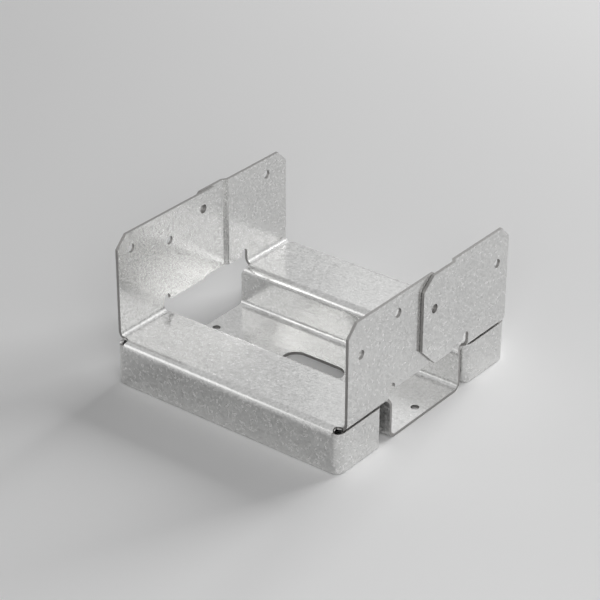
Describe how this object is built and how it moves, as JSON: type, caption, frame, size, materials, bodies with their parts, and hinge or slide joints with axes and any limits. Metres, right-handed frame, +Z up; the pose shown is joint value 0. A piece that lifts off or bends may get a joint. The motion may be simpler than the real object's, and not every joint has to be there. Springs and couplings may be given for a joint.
{
  "type": "post base",
  "caption": "Standoff base for a square timber post, folded from galvanised sheet, with raised seats, an anchor channel with a slot, and lapped nailing flanges.",
  "frame": {"origin": "on the ground under the middle of the base", "axes": "+X from the left flange to the right one, +Y from the front seat to the back one, +Z up"},
  "size_m": [0.1472, 0.142, 0.0794],
  "materials": {
    "galvanised": "hot-dip galvanised, dull grey zinc with a fine spangle, darker on the cut edges"
  },
  "bodies": {
    "root": {"post_base": "galvanised"}
  },
  "joints": []
}
